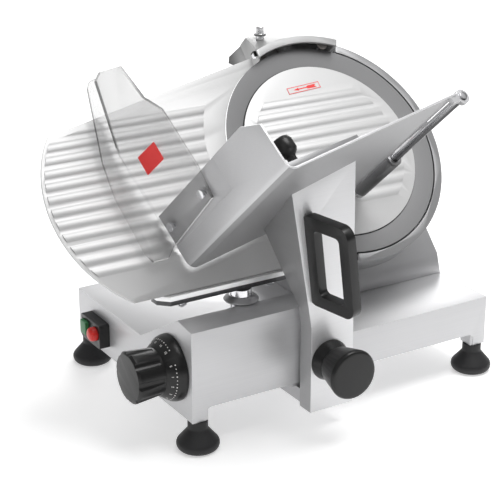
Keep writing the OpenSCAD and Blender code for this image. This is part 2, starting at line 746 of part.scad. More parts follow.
module sharpener_cover() color([0.72, 0.72, 0.73]) difference() {
    at_blade() difference() {
        intersection() {
            sector(sharpener_a0, 120) polygon(sharpener_section);
            right_of(-sharpener_side);
        }
        difference() {
            intersection() {
                sector(sharpener_a0 + sharpener_end_a, 120) polygon(sharpener_hollow);
                right_of(-sharpener_side + sharpener_wall);
            }
            translate([socket_x, socket_u1 + 8, socket_n]) rotate([-90, 0, 0])
                cylinder(h = 60, r = socket_r - 1);
        }
    }
    at_blade(socket_x, 0, socket_n) rotate([-90, 0, 0])
        cylinder(h = sharpener_r - 9, r = sharpener_post_r + seat_fit);
    at_grind() translate([0, 0, pin_low - 6]) cylinder(h = far / 4, r = pin_button_r + run_fit);
    at_blade(hone_x, hone_u, sharpener_back_n - 5) cylinder(h = 20, r = hone_rod_r + run_fit);
}

module sharpener_bracket() color([0.6, 0.6, 0.62]) at_blade(-sharpener_side, blade_r, sharpener_back_n)
    rotate([90, 0, 90]) linear_extrude(sharpener_wall)
        polygon([[7, 0], [33, 0], [37.5, -35], [32, -42.5], [9, -19]]);

module sharpener_post() color([0.8, 0.8, 0.82])
    at_blade(socket_x, socket_u0 + 4, socket_n) rotate([-90, 0, 0])
        cylinder(h = sharpener_r - 9.5 - socket_u0 - 4, r = sharpener_post_r);

module grinding_button() color([0.8, 0.8, 0.82]) at_grind() rotate_extrude()
    polygon([[0, pin_low], [pin_r_low, pin_low], [pin_r_low, -8], [pin_button_r, -8],
        [pin_button_r, pin_rest], [pin_collar_r, pin_rest], [pin_collar_r, pin_rest + 2.4],
        [pin_button_r, pin_rest + 2.4], [pin_button_r, pin_top - 2.5], [pin_button_r - 1.2, pin_top - 0.6],
        [pin_button_r - 3, pin_top], [0, pin_top]]);

module grinding_stone() color([0.4, 0.38, 0.36]) at_grind() translate([0, 0, pin_low])
    ring(grind_stone_r, pin_r_low, grind_stone_t);

module honing_rod() color([0.8, 0.8, 0.82]) at_blade(hone_x, hone_u, 0) {
    translate([0, 0, sharpener_back_n - 12]) cylinder(h = 12 - sharpener_back_n + 4, r = hone_rod_r);
    translate([0, 0, sharpener_back_n - 20]) cylinder(h = 10, r = hone_rod_r + 4);
}

module honing_stone() color([0.35, 0.33, 0.31]) at_blade(hone_x, hone_u, 4) cylinder(h = 3, r = 7);

// The ribbed plate that sets the slice thickness
module gauge_outline() difference() {
    intersection() {
        union() {
            translate([-gauge_end_x, -14]) circle(gauge_end_r);
            translate([-gauge_end_x, -far]) square([gauge_end_x + gauge_right_x, 2 * far]);
        }
        translate([-far, -gauge_low_u]) square([far + gauge_right_x, far]);
        translate([0, gauge_top_u]) rotate(gauge_top_slope) translate([-far, -far]) square([2 * far, far]);
    }
    circle(blade_r + gauge_gap);
}

gauge_bolt_x = [bar_x0 + 31, bar_x1 - 32];
gauge_bolt_r = 3;
gauge_nut_r = 6.5;
gauge_nut_h = 8;
lip_y = from_blade(-gauge_low_u, -gauge_t - rib_h)[0];
lip_z = from_blade(-gauge_low_u, -gauge_t - rib_h)[1];
gauge_bolt_y = lip_y + 3;
// The bar takes in the post, the bolts and the plate's foot
bar_rim = 4;
plate_foot_y0 = lip_y - 1;
plate_foot_y1 = lip_y + 13;
bar_front_y = min(post_y - 7, gauge_bolt_y - gauge_bolt_r - bar_rim, plate_foot_y0);
bar_back_y = max(post_y + 18, gauge_bolt_y + gauge_bolt_r + bar_rim, plate_foot_y1);
bar_top_z = lip_z - 0.1;

module gauge_plate() color([0.84, 0.84, 0.84]) {
    at_blade(0, 0, -gauge_t - rib_h) linear_extrude(gauge_t) gauge_outline();
    at_blade() intersection() {
        ribs(-gauge_end_x - gauge_end_r, gauge_right_x, 81, 12);
        translate([0, 0, -far / 2]) linear_extrude(far) difference() {
            union() {
                translate([-gauge_end_x, -14]) circle(gauge_end_r - 4);
                translate([-gauge_end_x, -far]) square([gauge_end_x, 2 * far]);
            }
            circle(blade_r + 29);
        }
        translate([0, gauge_top_u - 7, -far / 2]) rotate(gauge_top_slope) translate([-far, -far, 0])
            cube([2 * far, far, far]);
    }
    from_base() box([bar_x0 + 14, plate_foot_y0, bar_top_z], [bar_x1, plate_foot_y1, bar_top_z + 4]);
}

module gauge_bar() color([0.78, 0.78, 0.8]) from_base() difference() {
    translate([0, 0, bar_top_z - bar_t]) linear_extrude(bar_t) polygon([[bar_x0 + 12, bar_front_y],
        [bar_x1, bar_front_y], [bar_x1, bar_back_y], [bar_x0, bar_back_y], [bar_x0, bar_front_y + 12]]);
    for (x = gauge_bolt_x) translate([x, gauge_bolt_y, bar_top_z - bar_t - 1])
        cylinder(h = bar_t + 2, r = gauge_bolt_r);
}

module gauge_bolts() color([0.5, 0.5, 0.52]) from_base() for (x = gauge_bolt_x)
    translate([x, gauge_bolt_y, bar_top_z - bar_t]) {
        cylinder(h = bar_t, r = gauge_bolt_r);
        rotate_extrude() polygon([[0, -gauge_nut_h], [gauge_nut_r - 4, -gauge_nut_h + 0.4],
            [gauge_nut_r - 1, -gauge_nut_h + 2.6], [gauge_nut_r, -gauge_nut_h + 5],
            [gauge_nut_r, 0], [0, 0]]);
    }

module gauge_post() color([0.82, 0.82, 0.84]) from_base()
    translate([post_x, post_y, block_top_z]) cylinder(h = bar_top_z - bar_t - block_top_z, r = post_r);

module gauge_collar() color([0.62, 0.62, 0.64])
    from_base() translate([post_x, post_y, ridge_z + clear]) difference() {
        rotate_extrude() polygon([[0, 0], [collar_r, 0], [collar_r, 1.5], [post_r + 2, collar_h],
            [0, collar_h]]);
        translate([0, 0, -1]) cylinder(h = collar_h + 2, r = post_r);
    }

module gauge_block() color([0.6, 0.6, 0.62]) from_base() difference() {
    box([bulkhead_x + bulkhead_t + 4, ridge_y - 12, block_z], [post_x + 14, ridge_y + 32, block_top_z]);
    rod_y(gauge_rod_x, ridge_y - 20, ridge_y + 40, gauge_rod_z, gauge_rod_r + run_fit);
    rod_x(bulkhead_x, bulkhead_x + bulkhead_t + 10, dial_y + scroll_r0, dial_z, pin_r);
}

module scroll_pin() color([0.7, 0.7, 0.72]) from_base()
    rod_x(scroll_x + scroll_t - scroll_groove_d + clear, bulkhead_x + bulkhead_t + 10,
          dial_y + scroll_r0, dial_z, pin_r);

// The thickness dial; its scroll disc moves the pin of the plate's block
module at_dial(x) from_base() translate([x, dial_y, dial_z]) rotate([0, -90, 0]) children();

dial_rim_l = 9;
dial_cone_l = 21;
dial_end = dial_l - 0.5;

module dial_knob() color([0.06, 0.06, 0.06]) at_dial(left_x - 0.5) difference() {
    rotate_extrude() polygon([[0, 0], [dial_r, 0], [dial_r, 4], [dial_r - 1.5, dial_rim_l],
        [dial_grip_r - 1, dial_cone_l], [dial_grip_r - 3, dial_cone_l + 1], [dial_grip_r, dial_end - 2.5],
        [dial_grip_r - 3, dial_end], [0, dial_end]]);
    translate([0, 0, -1]) cylinder(h = dial_l - 10, r = dial_shaft_r + seat_fit);
    for (i = [0:7]) rotate([0, 0, i * 45]) translate([dial_grip_r + 3.5, 0, dial_cone_l + 4])
        cylinder(h = dial_l, r = 7, $fn = 32);
}

module dial_shaft() color([0.75, 0.75, 0.77]) at_dial(bulkhead_x + bulkhead_t)
    cylinder(h = bulkhead_x + bulkhead_t - left_x + dial_l - 11.5, r = dial_shaft_r);

// Groove of the scroll: its radius grows evenly with the turn
function scroll_at(a) = scroll_r0 + gauge_travel * a / dial_turn;
function scroll_point(a, side) = (scroll_at(a) + side * (pin_r + clear)) * [-sin(a), cos(a)];
scroll_steps = 66;
scroll_groove = concat([for (i = [0:scroll_steps]) scroll_point(i * dial_turn / scroll_steps, -1)],
                       [for (i = [scroll_steps:-1:0]) scroll_point(i * dial_turn / scroll_steps, 1)]);

module scroll_disc() color([0.62, 0.6, 0.5])
    from_base() translate([scroll_x, dial_y, dial_z]) rotate([0, 90, 0]) difference() {
        cylinder(h = scroll_t, r = scroll_r);
        translate([0, 0, -1]) cylinder(h = scroll_t + 2, r = dial_shaft_r + seat_fit);
        translate([0, 0, scroll_t - scroll_groove_d]) {
            linear_extrude(scroll_t) polygon(scroll_groove);
            for (a = [0, dial_turn]) rotate([0, 0, a + 90]) translate([scroll_at(a), 0, 0])
                cylinder(h = scroll_t, r = pin_r + clear);
        }
    }

// The food table and its end wall, folded from one sheet
module tray_profile() {
    translate([bend_r, -tray_t]) square([tray_l - bend_r, tray_t]);
    translate([-tray_t, bend_r]) square([tray_t, tray_wall_h - bend_r]);
    intersection() {
        translate([bend_r, bend_r]) difference() {
            circle(bend_r + tray_t);
            circle(bend_r);
        }
        translate([-tray_t, -tray_t]) square(bend_r + tray_t);
    }
}

module rod_ear(z) translate([0, 0, z]) linear_extrude(ear_t) {
    translate([pusher_x, pusher_w]) circle(ear_r);
    translate([tray_l - 8, pusher_w - 4]) square([pusher_x - tray_l + 8, -pusher_w + 3]);
}

module food_tray() color([0.76, 0.76, 0.77]) difference() {
    at_wall() {
        translate([0, 0, -far / 2]) linear_extrude(far) tray_profile();
        rod_ear(rod_z0);
        rod_ear(rod_z1 - ear_t);
    }
    at_tray() translate([-far, -far / 2, -far]) cube([2 * far, far, far]);
    at_tray() translate([-far, -far / 2, tray_d - 4]) cube([2 * far, far, far]);
    at_wall() translate([-far / 2, 0, 0]) rotate([0, 90, 0]) linear_extrude(far)
        polygon([[-wall_top_d, tray_wall_h + 1], [-wall_top_d, tray_wall_h], [-tray_d, tray_wall_h - 16],
                 [-tray_d, tray_wall_h + 1]]);
    at_wall() translate([pusher_x, pusher_w, 0]) cylinder(h = far, r = pusher_rod_r + seat_fit);
    at_wall() translate([-far - tray_t + wall_step, wall_step_w, wall_step_d - far]) cube(far);
    at_wall() for (d = guard_screw_d) translate([0, guard_screw_w, d]) rotate([0, -90, 0])
        translate([0, 0, -10]) cylinder(h = 20, r = guard_screw_r + seat_fit);
}

// The folded arm that carries the table, with its side flange
arm_top_z = 380;
arm_top_x = arm_x0 - (arm_top_z - arm_knee_z) * tan(arm_lean);

module arm_strip(x) polygon([[arm_x0 + x, arm_foot_z], [arm_x0 + x + arm_t, arm_foot_z],
    [arm_x0 + x + arm_t, arm_knee_z], [arm_top_x + x + arm_t, arm_top_z], [arm_top_x + x, arm_top_z],
    [arm_x0 + x, arm_knee_z]]);

// Extrudes an outline of [x, z] back from y0 to y1
module along_y(y0, y1) translate([0, y1, 0]) rotate([90, 0, 0]) linear_extrude(y1 - y0) children();

module arm_sheet() from_base() difference() {
    union() {
        along_y(arm_y, arm_y + arm_t) polygon([[arm_x0, arm_foot_z], [arm_x1, arm_foot_z],
            [arm_x1 - 5, arm_top_z], [arm_top_x, arm_top_z], [arm_x0, arm_knee_z]]);
        along_y(arm_y + arm_t, arm_y + 120) arm_strip(0);
        box([arm_x1 - 2 * arm_t, arm_y + arm_t, arm_foot_z],
            [arm_x1 - arm_t, arm_flange_y - 8, arm_knee_z + 60]);
        rod_y(clamp_x, arm_y + arm_t, arm_flange_y - 4, clamp_z, 11);
    }
    along_x(arm_x0 - 100, arm_x1 - 20) polygon([[arm_flange_y, arm_foot_z - 1],
        [arm_flange_y, arm_knee_z + 22], [arm_flange_y + 58, arm_knee_z + 110], [arm_flange_y + 58, far],
        [far, far], [far, arm_foot_z - 1]]);
}

module carriage_arm() color([0.78, 0.78, 0.79]) difference() {
    arm_sheet();
    at_tray() translate([-far, -tray_t, -far]) cube([2 * far, far, 2 * far]);
    from_base() rod_y(clamp_x, arm_y - 1, front_y, clamp_z, clamp_stud_r + run_fit);
    handle_screw_places() translate([0, 0, -1]) cylinder(h = 20, r = handle_screw_r + seat_fit);
}

module carriage_slide() color([0.62, 0.62, 0.64]) from_base() difference() {
    union() {
        box([(arm_x0 + arm_x1 - slide_l) / 2, inner_front_y + 4, 46],
            [(arm_x0 + arm_x1 + slide_l) / 2, slide_rear_y, 82]);
        box([arm_x0 + arm_t, arm_y + arm_t, 28], [arm_x1 - 2 * arm_t, slide_rear_y, 46]);
    }
    rod_x(left_x, right_x, guide_y, guide_z, rod_r + run_fit);
    rod_x(left_x, right_x, rail_y, rail_z, rail_r + run_fit);
}

// The loop handle on the arm's front face
module at_handle() from_base() translate([handle_x, arm_y, handle_z]) rotate([0, handle_lean, 0]) children();
module handle_screw_places() at_handle() for (z = handle_screw_z) translate([0, 0, z]) rotate([-90, 0, 0])
    children();

module handle_loop() difference() {
    round_rect([-handle_out, -handle_h / 2], [8, handle_h / 2], 15);
    round_rect([-handle_out + handle_bar, -handle_h / 2 + handle_bar],
               [-handle_bar + 1, handle_h / 2 - handle_bar], 6);
}

module carriage_handle() color([0.05, 0.05, 0.05]) difference() {
    at_handle() rotate([0, 0, handle_turn]) translate([-handle_w / 2, 0, 0]) rotate([90, 0, 90])
        linear_extrude(handle_w) handle_loop();
    from_base() box([-far, arm_y, 0], [far, arm_y + 100, far]);
    handle_screw_places() translate([0, 0, -10.5]) cylinder(h = 30, r = handle_screw_r + seat_fit);
}

module handle_screws() color([0.6, 0.6, 0.62]) handle_screw_places() {
    translate([0, 0, -10]) cylinder(h = 10 + arm_t + 1, r = handle_screw_r);
    translate([0, 0, arm_t + seat_fit]) cylinder(h = 3, r = 4.5);
}

module at_clamp(y) from_base() translate([clamp_x, y, clamp_z]) rotate([90, 0, 0]) children();

module clamp_collar() color([0.06, 0.06, 0.06]) at_clamp(arm_y) difference() {
    rotate_extrude() polygon([[0, 0], [clamp_collar_r, 0], [clamp_collar_r, 3],
        [clamp_collar_r - 5, clamp_collar_l - 2], [clamp_collar_r - 6, clamp_collar_l], [0, clamp_collar_l]]);
    translate([0, 0, -1]) cylinder(h = 40, r = clamp_stud_r + run_fit);
}

module clamp_knob() color([0.05, 0.05, 0.05]) at_clamp(arm_y - clamp_collar_l - clear) difference() {
    rotate_extrude() polygon([[0, 0], [knob_r - 8.5, 0], [knob_r - 7, 4], [knob_r, clamp_knob_l - 4],
        [knob_r - 2, clamp_knob_l - 0.5], [knob_r - 6, clamp_knob_l], [0, clamp_knob_l]]);
    translate([0, 0, -1]) cylinder(h = clamp_knob_l - 5, r = clamp_stud_r);
}

module clamp_stud() color([0.7, 0.7, 0.72]) at_clamp(arm_flange_y - 5)
    cylinder(h = arm_flange_y - 5 - arm_y + clamp_collar_l + clear + clamp_knob_l - 6, r = clamp_stud_r);

// The clear guard beside the end wall: one panel on the wall, one strip along the plate
guard_panel = [[2, 31], [104, 38], [111, 77], [111, 152], [95, 178], [89, 225], [52, 241], [37, 238],
    [2, 156]];
guard_strip = [[-260, -84], [-274, -99], [-294, -100], [-300, -88], [-311, -15], [-310.5, 30],
               [-302.5, 79], [-295, 127], [-290, 135], [-281, 138], [-287, 36]];

module tray_guard() color([0.85, 0.9, 0.92, 0.45]) difference() {
    union() {
        at_wall() rotate([0, -90, 0]) translate([0, 0, tray_t + 0.1]) linear_extrude(guard_t)
            polygon(guard_panel);
        at_blade(0, 0, tray_gap + 2) linear_extrude(guard_t) polygon(guard_strip);
    }
    at_wall() for (d = guard_screw_d) translate([0, guard_screw_w, d]) rotate([0, -90, 0])
        translate([0, 0, -10]) cylinder(h = 30, r = guard_screw_r);
}

module guard_screws() color([0.75, 0.75, 0.77]) at_wall() for (d = guard_screw_d)
    translate([0, guard_screw_w, d]) rotate([0, -90, 0]) {
        translate([0, 0, -4]) cylinder(h = tray_t + guard_t + 4.1, r = guard_screw_r);
        translate([0, 0, tray_t + guard_t + 0.1]) cylinder(h = 4, r = 5.5);
        translate([0, 0, -4]) cylinder(h = 4, r = 5, $fn = 6);
    }

// The food pusher: a rod along the table's right edge, a sleeve on it, an arm and a toothed plate
module pusher_rod() color([0.82, 0.82, 0.84]) at_wall() translate([pusher_x, pusher_w, rod_z0 - 2])
    cylinder(h = rod_z1 - rod_z0 + 4, r = pusher_rod_r);

module pusher_bush() color([0.1, 0.1, 0.1]) at_wall() translate([pusher_x, pusher_w, sleeve_z]) difference() {
    union() {
        cylinder(h = pusher_sleeve_l, r = bush_r);
        cylinder(h = bush_lip, r = sleeve_r);
        translate([0, 0, pusher_sleeve_l - bush_lip]) cylinder(h = bush_lip, r = sleeve_r);
    }
    translate([0, 0, -1]) cylinder(h = pusher_sleeve_l + 2, r = pusher_rod_r + run_fit);
}

module pusher_arm() color([0.74, 0.74, 0.76]) at_wall() difference() {
    union() {
        translate([pusher_x, pusher_w, sleeve_z + bush_lip + clear])
            cylinder(h = pusher_sleeve_l - 2 * bush_lip - 2 * clear, r = sleeve_r);
        translate([pusher_x + 1, pusher_w, plate_z + plate_t])
            cube([sleeve_r - 1, arm_bar_w - pusher_w, arm_bar_d]);
        translate([plate_x0 + 30, arm_bar_w - 8, plate_z + plate_t])
            cube([pusher_x + sleeve_r - plate_x0 - 30, 8, arm_bar_d]);
    }
    translate([pusher_x, pusher_w, sleeve_z]) cylinder(h = pusher_sleeve_l, r = bush_r + run_fit);
}

module pusher_plate() color([0.8, 0.8, 0.82]) at_wall() {
    translate([0, 0, plate_z]) linear_extrude(plate_t)
        round_rect([plate_x0, 4], [plate_x1, arm_bar_w + 2], 6);
    for (x = [plate_x0 + 14:14:plate_x1 - 10], w = [14, 26, 38])
        translate([x, w, plate_z - 5]) cylinder(h = 5.5, r1 = 0.6, r2 = 3, $fn = 16);
}

module pusher_knob() color([0.04, 0.04, 0.04])
    at_wall() translate([plate_x0 + 58, arm_bar_w, plate_z + plate_t + arm_bar_d / 2]) rotate([-90, 0, 0])
        rotate_extrude() polygon([[0, 0], [6, 0], [6, 7], [pusher_knob_r - 2, 11], [pusher_knob_r, 15],
            [pusher_knob_r, 27], [pusher_knob_r - 3, 33], [0, 35]]);

base_housing();
bottom_cover();
feet();
foot_studs();
pedestal();
motor();
motor_bracket();
drive_belt();
blade_guard();
hub_bearings();
slice_deflector();
cable_gland();
switch_box();
bulkhead();
carriage_rod();
carriage_rail();
gauge_rod();
green_button();
red_button();
blade();
blade_hub();
blade_screws();
driven_pulley();
motor_pulley();
blade_cover();
tie_rod();
tie_rod_knob();
sharpener_cover();
sharpener_bracket();
sharpener_post();
grinding_button();
grinding_stone();
honing_rod();
honing_stone();
gauge_plate();
gauge_bar();
gauge_bolts();
gauge_post();
gauge_collar();
gauge_block();
scroll_pin();
dial_knob();
dial_shaft();
scroll_disc();
food_tray();
carriage_arm();
carriage_slide();
carriage_handle();
handle_screws();
clamp_collar();
tray_guard();
guard_screws();
pusher_rod();
clamp_knob();
clamp_stud();
pusher_bush();
pusher_arm();
pusher_plate();
pusher_knob();
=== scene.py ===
import math

import bmesh
import bpy
from mathutils import Matrix, Vector


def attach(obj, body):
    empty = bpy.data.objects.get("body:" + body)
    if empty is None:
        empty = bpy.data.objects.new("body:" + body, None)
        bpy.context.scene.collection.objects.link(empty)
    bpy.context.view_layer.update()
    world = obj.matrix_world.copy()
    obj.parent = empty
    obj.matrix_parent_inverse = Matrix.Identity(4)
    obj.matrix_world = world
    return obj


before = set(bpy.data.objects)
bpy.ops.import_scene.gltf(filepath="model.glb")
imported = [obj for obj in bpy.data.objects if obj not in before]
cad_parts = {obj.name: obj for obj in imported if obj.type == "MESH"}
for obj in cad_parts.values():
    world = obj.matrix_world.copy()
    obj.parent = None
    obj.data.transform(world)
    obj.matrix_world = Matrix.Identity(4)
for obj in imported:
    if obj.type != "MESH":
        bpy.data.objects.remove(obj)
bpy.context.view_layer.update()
scene = bpy.context.scene


# Base housing: one folded sheet of satin aluminium, brushed along its length, with the deck, the console
# and the ramp in one piece. Its bends are rounded, and a lighter material paints a highlight line on each.
class Shade:
    """A socket of a node tree. Plain operators add Math nodes, and add() makes any other node."""

    def __init__(self, tree, out):
        self.tree, self.out = tree, out

    def add(self, kind, settings=None, inputs=None, out=0):
        node = self.tree.nodes.new(kind)
        for name, value in (settings or {}).items():
            setattr(node, name, value)
        for name, value in (inputs or {}).items():
            if isinstance(value, Shade):
                self.tree.links.new(value.out, node.inputs[name])
            else:
                node.inputs[name].default_value = value
        return Shade(self.tree, node.outputs[out])

    def math(self, operation, first, second=0.0):
        return self.add("ShaderNodeMath", {"operation": operation}, {0: first, 1: second})

    def __add__(self, other):
        return self.math("ADD", self, other)

    def __radd__(self, other):
        return self.math("ADD", other, self)

    def __sub__(self, other):
        return self.math("SUBTRACT", self, other)

    def __rsub__(self, other):
        return self.math("SUBTRACT", other, self)

    def __mul__(self, other):
        return self.math("MULTIPLY", self, other)

    def __pow__(self, other):
        return self.math("POWER", self, other)

    def __gt__(self, other):
        return self.math("GREATER_THAN", self, other)

    def __abs__(self):
        return self.math("ABSOLUTE", self)

    def part(self, axis):
        return self.add("ShaderNodeSeparateXYZ", None, {0: self}, axis)

    def vector(self, operation, other, out=0):
        return self.add("ShaderNodeVectorMath", {"operation": operation}, {0: self, 1: other}, out)

    def dot(self, direction):
        return self.vector("DOT_PRODUCT", direction, 1)

    def noise(self, steps, detail=2.0, rough=0.5):
        """Soft noise from 0 to 1. Its grains are steps millimetres long: one length, or one for each axis."""
        steps = steps if isinstance(steps, tuple) else (steps,) * 3
        spread = self.vector("MULTIPLY", [1000 / step for step in steps])
        return self.add("ShaderNodeTexNoise", None,
                        {"Vector": spread, "Scale": 1.0, "Detail": detail, "Roughness": rough})

    def between(self, low, high):
        """0 below low, 1 above high and a smooth step between them."""
        return self.add("ShaderNodeMapRange", {"interpolation_type": "SMOOTHSTEP"},
                        {"Value": self, "From Min": low, "From Max": high})

    def choose(self, low, high):
        """The number low where this value is 0 and high where it is 1."""
        return self.add("ShaderNodeMix", {"data_type": "FLOAT"}, {0: self, 2: low, 3: high}, 0)

    def mix(self, low, high):
        """The colour low where this value is 0 and high where it is 1."""
        return self.add("ShaderNodeMix", {"data_type": "RGBA"}, {0: self, 6: low, 7: high}, 2)

    def tint(self, dark, light):
        """A colour from dark to light as this value goes from 0 to 1."""
        return self.mix((*dark, 1), (*light, 1))


def surface(name, **constants):
    """A new material: its place in the object, its surface normal and the shader to fill in."""
    material = bpy.data.materials.new(name)
    material.use_nodes = True
    tree = material.node_tree
    shader = tree.nodes["Principled BSDF"]
    for socket, value in constants.items():
        shader.inputs[socket.replace("_", " ")].default_value = value
    coordinates = tree.nodes.new("ShaderNodeTexCoord").outputs
    return material, Shade(tree, coordinates["Object"]), Shade(tree, coordinates["Normal"]), shader


def wire(shader, **values):
    for socket, value in values.items():
        value.tree.links.new(value.out, shader.inputs[socket.replace("_", " ")])


def bumped(height, strength, distance):
    """A normal raised by height, where 1 is distance millimetres."""
    return height.add("ShaderNodeBump", None,
                      {"Strength": strength, "Distance": distance / 1000, "Height": height})


def grey(value, blue=0.0):
    return value, value, value + blue


def brushed(name, dark, light, rough, painted_shade=None):
    """Satin sheet with fine grain along X, and along Y on the faces that look along X.
    Its last argument is painted shade: a direction and the darker tones for the faces that look that way."""
    material, place, normal, shader = surface(name, Metallic=0.5)
    long, fine, facing = 160, 0.9, 0.7
    sideways = abs(normal.part(0)) > facing
    grain = sideways.choose(place.noise((long, fine, fine), 4, 0.7), place.noise((fine, long, fine), 4, 0.7))
    tone = grain * 0.7 + place.noise(90, 1) * 0.3
    colour = tone.tint(dark, light)
    # painted shade: darker tones on the faces that look along the given direction
    if painted_shade:
        direction, *tones = painted_shade
        colour = (normal.dot(direction) > facing).mix(colour, tone.tint(*tones))
    wire(shader, Base_Color=colour, Roughness=rough + (grain - 0.5) * 0.22, Normal=bumped(grain, 0.12, 0.05))
    return material


def paint(material, *nodes):
    for node in nodes:
        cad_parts[node].data.materials.clear()
        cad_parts[node].data.materials.append(material)


sharp_edge = math.radians(32)
same_plane = math.radians(0.6)
same_point = 2e-5


def smooth_group():
    """Nodes that drop the stored normals and shade every edge flatter than sharp_edge smooth."""
    group = bpy.data.node_groups.new("smooth_edges", "GeometryNodeTree")
    for direction in ("INPUT", "OUTPUT"):
        group.interface.new_socket("Geometry", in_out=direction, socket_type="NodeSocketGeometry")
    start = Shade(group, group.nodes.new("NodeGroupInput").outputs[0])
    bare = start.add("GeometryNodeRemoveAttribute", None, {"Geometry": start, "Name": "custom_normal"})
    faces = bare.add("GeometryNodeSetShadeSmooth", {"domain": "FACE"},
                     {"Geometry": bare, "Shade Smooth": True})
    sharp = start.add("GeometryNodeInputMeshEdgeAngle") > sharp_edge
    edges = faces.add("GeometryNodeSetShadeSmooth", {"domain": "EDGE"},
                      {"Geometry": faces, "Selection": sharp, "Shade Smooth": False})
    group.links.new(edges.out, group.nodes.new("NodeGroupOutput").inputs[0])
    return group


smooth_edges = smooth_group()


def soften(radius, *nodes, segments=3, edge=None):
    """Rounds the edges of CAD nodes by that many millimetres, or not at all for 0. Their own meshes stay as
    they are. edge is a material for the rounded strips, such as a lighter one that paints a highlight."""
    for node in nodes:
        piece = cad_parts[node]
        weld = piece.modifiers.new("weld", "WELD")
        weld.merge_threshold = same_point
        flat = piece.modifiers.new("flat", "DECIMATE")
        flat.decimate_type = "DISSOLVE"
        flat.angle_limit = same_plane
        if radius:
            bevel = piece.modifiers.new("bevel", "BEVEL")
            bevel.width = radius / 1000
            bevel.segments = segments
            bevel.limit_method = "ANGLE"
            bevel.angle_limit = sharp_edge
            bevel.miter_outer = "MITER_ARC"
            if edge:
                piece.data.materials.append(edge)
                bevel.material = 1
        piece.modifiers.new("smooth", "NODES").node_group = smooth_edges


sheet_tones, sheet_rough = (grey(0.56, 0.01), grey(0.70, 0.01)), 0.42
# The rounded strips of the bends get a lighter sheet: a painted highlight along each bend.
painted_edge_highlight = brushed("painted_edge_highlight", grey(0.84, 0.01), grey(0.94, 0.01), 0.30)
paint(brushed("satin_sheet", *sheet_tones, sheet_rough), "base_housing")
soften(1.8, "base_housing", edge=painted_edge_highlight)


# Bottom cover and inner plates: plain zinc-grey steel, slightly mottled.
# The cover closes the base from below, and the plates and studs inside it are seen only from there.
def mottled(name, dark, light, rough, grain, detail=2, uneven=0.5, cloud=None, share=1.0, bump=None,
            **constants):
    """A material whose tone and roughness follow a fine noise. rough is its lowest and highest roughness, and
    grain is in millimetres. With a cloud, the fine noise has that share of the tone, and a broad one the
    rest."""
    material, place, normal, shader = surface(name, **constants)
    fleck = place.noise(grain, detail, uneven)
    tone = fleck * share + place.noise(cloud, 1) * (1 - share) if cloud else fleck
    wire(shader, Base_Color=tone.tint(dark, light), Roughness=rough[0] + fleck * (rough[1] - rough[0]))
    if bump:
        wire(shader, Normal=bumped(fleck, *bump))
    return material


steel = mottled("plain_steel", grey(0.46, 0.01), grey(0.58, 0.02), (0.34, 0.48), 14, 3, 0.6, Metallic=0.9)
paint(steel, "bottom_cover", "bulkhead", "foot_studs", "motor_bracket", "hub_bearings")
soften(0.4, "bottom_cover", "bulkhead", "motor_bracket")
soften(0, "foot_studs", "hub_bearings")


# Rubber feet: four bells with a flared, rounded rim, moulded with a matt skin.
# The drive belt inside the pedestal is of the same black rubber.
rubber = mottled("moulded_rubber", grey(0.012, 0.001), grey(0.028, 0.001), (0.42, 0.62), 0.8, 3,
                 bump=(0.15, 0.1), Specular_IOR_Level=0.4)
paint(rubber, "feet", "drive_belt")
soften(1.2, "feet")
soften(0.4, "drive_belt")


# Guide rods: ground and polished steel bars inside the base.
# The carriage slides along two of them, and the thickness plate along the third.
chrome = mottled("polished_steel", grey(0.72, 0.02), grey(0.84, 0.02), (0.10, 0.20), 9, 3, 0.6, Metallic=1.0)
paint(chrome, "carriage_rod", "carriage_rail", "gauge_rod")
soften(0.5, "carriage_rod", "carriage_rail", "gauge_rod")


# Pedestal: the cast belt housing behind the blade, finely blasted, with well rounded edges.
# The pulley in it and the sliding blocks in the base are castings too.
casting = mottled("blasted_casting", grey(0.46, 0.01), grey(0.60, 0.01), (0.36, 0.48), 0.7, 3, 0.6,
                  cloud=60, share=0.5, bump=(0.1, 0.08), Metallic=0.75)
paint(casting, "pedestal", "driven_pulley", "gauge_block", "carriage_slide")
soften(2.0, "pedestal")
soften(0.6, "driven_pulley", "gauge_block", "carriage_slide")


# Motor: a ribbed can in dark paint with a little orange peel.
# It sits in the base and drives the blade through a small steel pulley and the belt.
motor_paint = mottled("motor_paint", (0.05, 0.055, 0.06), (0.08, 0.085, 0.09), (0.4, 0.5), 2.2,
                      bump=(0.2, 0.1), Coat_Roughness=0.3)
paint(motor_paint, "motor")
paint(steel, "motor_pulley")
soften(0.5, "motor", "motor_pulley")


# Blade guard: the cast ring round the blade, turned on its face, with its web and bearing boss.
# The plain steel deflector behind it throws the slices down on to the deck.
blade_centre, blade_lean = (115.1, 35.42, 285.7), 47


def shift(x, y, z):
    """A move by that many millimetres."""
    return Matrix.Translation(Vector((x, y, z)) / 1000)


def turn(degrees, axis):
    return Matrix.Rotation(math.radians(degrees), 4, axis)


def at_blade(x=0.0, u=0.0, n=0.0):
    """The blade's frame: x along the travel, y up in the blade's plane, z out of its face; millimetres in."""
    return shift(*blade_centre) @ turn(blade_lean, "X") @ shift(x, u, n)


def in_blade(place):
    """Object coordinates turned into the blade's frame."""
    frame_of_blade = at_blade()
    return place.add("ShaderNodeMapping", {"vector_type": "TEXTURE"},
                     {"Vector": place, "Location": frame_of_blade.to_translation(),
                      "Rotation": frame_of_blade.to_euler()})


def from_axis(place):
    """Distance from the Z axis of the coordinates in place."""
    return (place.part(0) ** 2.0 + place.part(1) ** 2.0) ** 0.5


def round_blade(place):
    """The distance from the blade's axis as a vector along x, for marks that run round it."""
    return place.add("ShaderNodeCombineXYZ", None, {0: from_axis(in_blade(place))})


ring_metal, place, normal, shader = surface("turned_ring", Metallic=0.75)
marks = round_blade(place).noise(0.8, 3, 0.7)
wire(shader, Base_Color=marks.tint(grey(0.28, 0.005), grey(0.36, 0.005)), Roughness=0.34 + marks * 0.12)
paint(ring_metal, "blade_guard")
soften(1.2, "blade_guard")
paint(steel, "slice_deflector")
soften(0.4, "slice_deflector")
